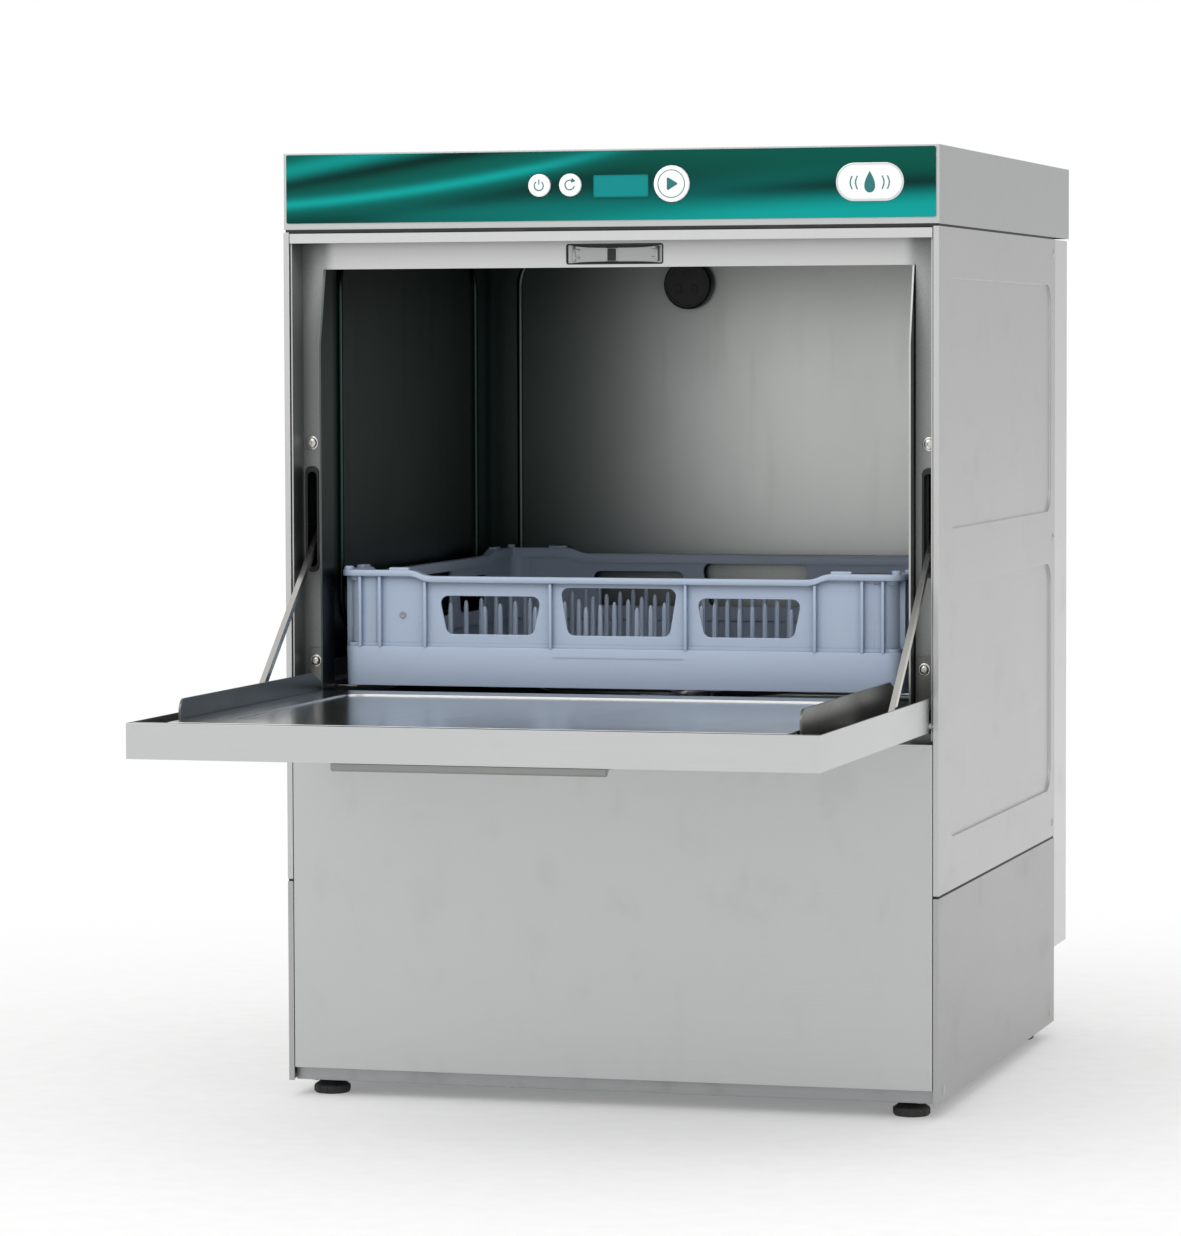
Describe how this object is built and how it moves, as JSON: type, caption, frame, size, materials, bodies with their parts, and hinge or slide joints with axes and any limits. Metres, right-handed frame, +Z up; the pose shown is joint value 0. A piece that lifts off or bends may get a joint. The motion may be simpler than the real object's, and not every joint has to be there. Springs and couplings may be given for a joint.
{
  "type": "commercial dishwasher",
  "caption": "Underbench commercial dishwasher with a drop-down door, pull-out rack, turning wash and rinse arms, push-button fascia and levelling feet.",
  "frame": {"origin": "bottom centre of the bounding box at rest, with the door open", "axes": "+X to the right seen from the front, +Y from the door towards the back, +Z up"},
  "size_m": [0.575, 1.002, 0.815],
  "materials": {
    "brushed_steel": "satin, grain along the sheet",
    "bright_steel": "bright annealed",
    "dark_steel": "satin, shaded",
    "fascia_green": "printed film with dark and light sweeps",
    "display_teal": "smooth",
    "button_white": "smooth",
    "pipe_white": "smooth",
    "rack_blue": "moulded polypropylene",
    "black_plastic": "moulded",
    "grey_plastic": "moulded",
    "brass": "cast",
    "board_green": "coated board"
  },
  "bodies": {
    "cabinet": {"hood_cover": "brushed_steel", "front_lower_panel": "brushed_steel", "rear_lower_panel": "brushed_steel", "base_pan": "brushed_steel", "front_frame": "brushed_steel", "sump_strainer": "brushed_steel", "left_side_panel": "brushed_steel", "left_skirt_panel": "brushed_steel", "left_filter_plate": "brushed_steel", "left_stay_spring": "brushed_steel", "right_side_panel": "brushed_steel", "right_skirt_panel": "brushed_steel", "right_filter_plate": "brushed_steel", "right_stay_spring": "brushed_steel", "latch_plate": "bright_steel", "wash_tank": "bright_steel", "lower_spindle": "bright_steel", "upper_spindle": "bright_steel", "rinse_booster": "bright_steel", "left_hinge_pin": "bright_steel", "left_tank_rail": "bright_steel", "right_hinge_pin": "bright_steel", "right_tank_rail": "bright_steel", "tank_heater": "dark_steel", "left_hinge_bracket": "dark_steel", "right_hinge_bracket": "dark_steel", "fascia_panel": "fascia_green", "display_window": "display_teal", "overflow_standpipe": "pipe_white", "vent_cap": "black_plastic", "riser_hose": "black_plastic", "drain_pump": "black_plastic", "drain_spigot": "black_plastic", "cable_gland": "black_plastic", "rear_cover": "grey_plastic", "wash_pump": "grey_plastic", "dosing_pump": "grey_plastic", "booster_heater": "brass", "inlet_valve": "brass", "control_board": "board_green"},
    "door": {"door_skin": "brushed_steel", "door_inner_panel": "bright_steel", "door_handle": "brushed_steel", "left_rack_guide": "dark_steel", "right_rack_guide": "dark_steel"},
    "left_stay": {"left_stay_rod": "bright_steel"},
    "right_stay": {"right_stay_rod": "bright_steel"},
    "rack": {"dish_rack": "rack_blue"},
    "power_key": {"power_button": "button_white"},
    "cycle_key": {"cycle_button": "button_white"},
    "start_key": {"start_button": "button_white"},
    "lower_wash": {"lower_wash_arm": "bright_steel"},
    "lower_rinse": {"lower_rinse_arm": "bright_steel"},
    "upper_wash": {"upper_wash_arm": "bright_steel"},
    "upper_rinse": {"upper_rinse_arm": "bright_steel"},
    "front_left_leveller": {"front_left_foot": "black_plastic"},
    "front_right_leveller": {"front_right_foot": "black_plastic"},
    "rear_left_leveller": {"rear_left_foot": "black_plastic"},
    "rear_right_leveller": {"rear_right_foot": "black_plastic"}
  },
  "joints": [
    {"name": "door_hinge", "type": "hinge", "parent": "cabinet", "child": "door", "pos_m": [0, -0.09575, 0.33125], "axis": [-1, 0, 0], "range_deg": [0, 90]},
    {"name": "left_stay_pivot", "type": "hinge", "parent": "door", "child": "left_stay", "pos_m": [-0.273, -0.22775, 0.34225], "axis": [-1, 0, 0], "range_deg": [-90, 0]},
    {"name": "right_stay_pivot", "type": "hinge", "parent": "door", "child": "right_stay", "pos_m": [0.273, -0.22775, 0.34225], "axis": [-1, 0, 0], "range_deg": [-90, 0]},
    {"name": "rack_slide", "type": "slide", "parent": "cabinet", "child": "rack", "axis": [0, 1, 0], "range_m": [-0.3, 0]},
    {"name": "power_press", "type": "slide", "parent": "cabinet", "child": "power_key", "axis": [0, 1, 0], "range_m": [0, 0.0015]},
    {"name": "cycle_press", "type": "slide", "parent": "cabinet", "child": "cycle_key", "axis": [0, 1, 0], "range_m": [0, 0.0015]},
    {"name": "start_press", "type": "slide", "parent": "cabinet", "child": "start_key", "axis": [0, 1, 0], "range_m": [0, 0.0015]},
    {"name": "lower_wash_spin", "type": "hinge", "parent": "cabinet", "child": "lower_wash", "pos_m": [0, 0.183, 0.3155], "axis": [0, 0, 1], "continuous": true},
    {"name": "lower_rinse_spin", "type": "hinge", "parent": "cabinet", "child": "lower_rinse", "pos_m": [0, 0.183, 0.3325], "axis": [0, 0, 1], "continuous": true},
    {"name": "upper_wash_spin", "type": "hinge", "parent": "cabinet", "child": "upper_wash", "pos_m": [0, 0.183, 0.7625], "axis": [0, 0, 1], "continuous": true},
    {"name": "upper_rinse_spin", "type": "hinge", "parent": "cabinet", "child": "upper_rinse", "pos_m": [0, 0.183, 0.743], "axis": [0, 0, 1], "continuous": true},
    {"name": "front_left_foot_screw", "type": "slide", "parent": "cabinet", "child": "front_left_leveller", "axis": [0, 0, -1], "range_m": [0, 0.02]},
    {"name": "front_right_foot_screw", "type": "slide", "parent": "cabinet", "child": "front_right_leveller", "axis": [0, 0, -1], "range_m": [0, 0.02]},
    {"name": "rear_left_foot_screw", "type": "slide", "parent": "cabinet", "child": "rear_left_leveller", "axis": [0, 0, -1], "range_m": [0, 0.02]},
    {"name": "rear_right_foot_screw", "type": "slide", "parent": "cabinet", "child": "rear_right_leveller", "axis": [0, 0, -1], "range_m": [0, 0.02]}
  ],
  "couplings": [
    {"joint": "left_stay_pivot", "follows": "door_hinge", "ratio": -1},
    {"joint": "right_stay_pivot", "follows": "door_hinge", "ratio": -1}
  ]
}
